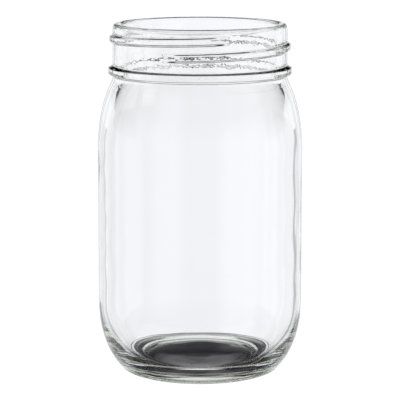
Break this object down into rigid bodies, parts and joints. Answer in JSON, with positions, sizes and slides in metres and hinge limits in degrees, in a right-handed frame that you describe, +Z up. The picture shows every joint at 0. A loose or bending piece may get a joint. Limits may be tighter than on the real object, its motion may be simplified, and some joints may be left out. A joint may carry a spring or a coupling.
{
  "type": "mason jar",
  "caption": "Open clear-glass canning jar with a straight round body, sloping shoulder, bead, right-hand screw neck, rounded lip and recessed base.",
  "frame": {"origin": "on the jar's axis, at the plane of the standing ring", "axes": "+Z up the jar's axis to the open mouth; the sides at +X and -X carry the mould seams, and the thread's lower end starts at the front left, 25 degrees from -Y towards -X"},
  "size_m": [0.079, 0.079, 0.1349],
  "materials": {
    "clear_glass": "clear fire-polished soda-lime glass"
  },
  "bodies": {
    "root": {"glass_jar": "clear_glass"}
  },
  "joints": []
}
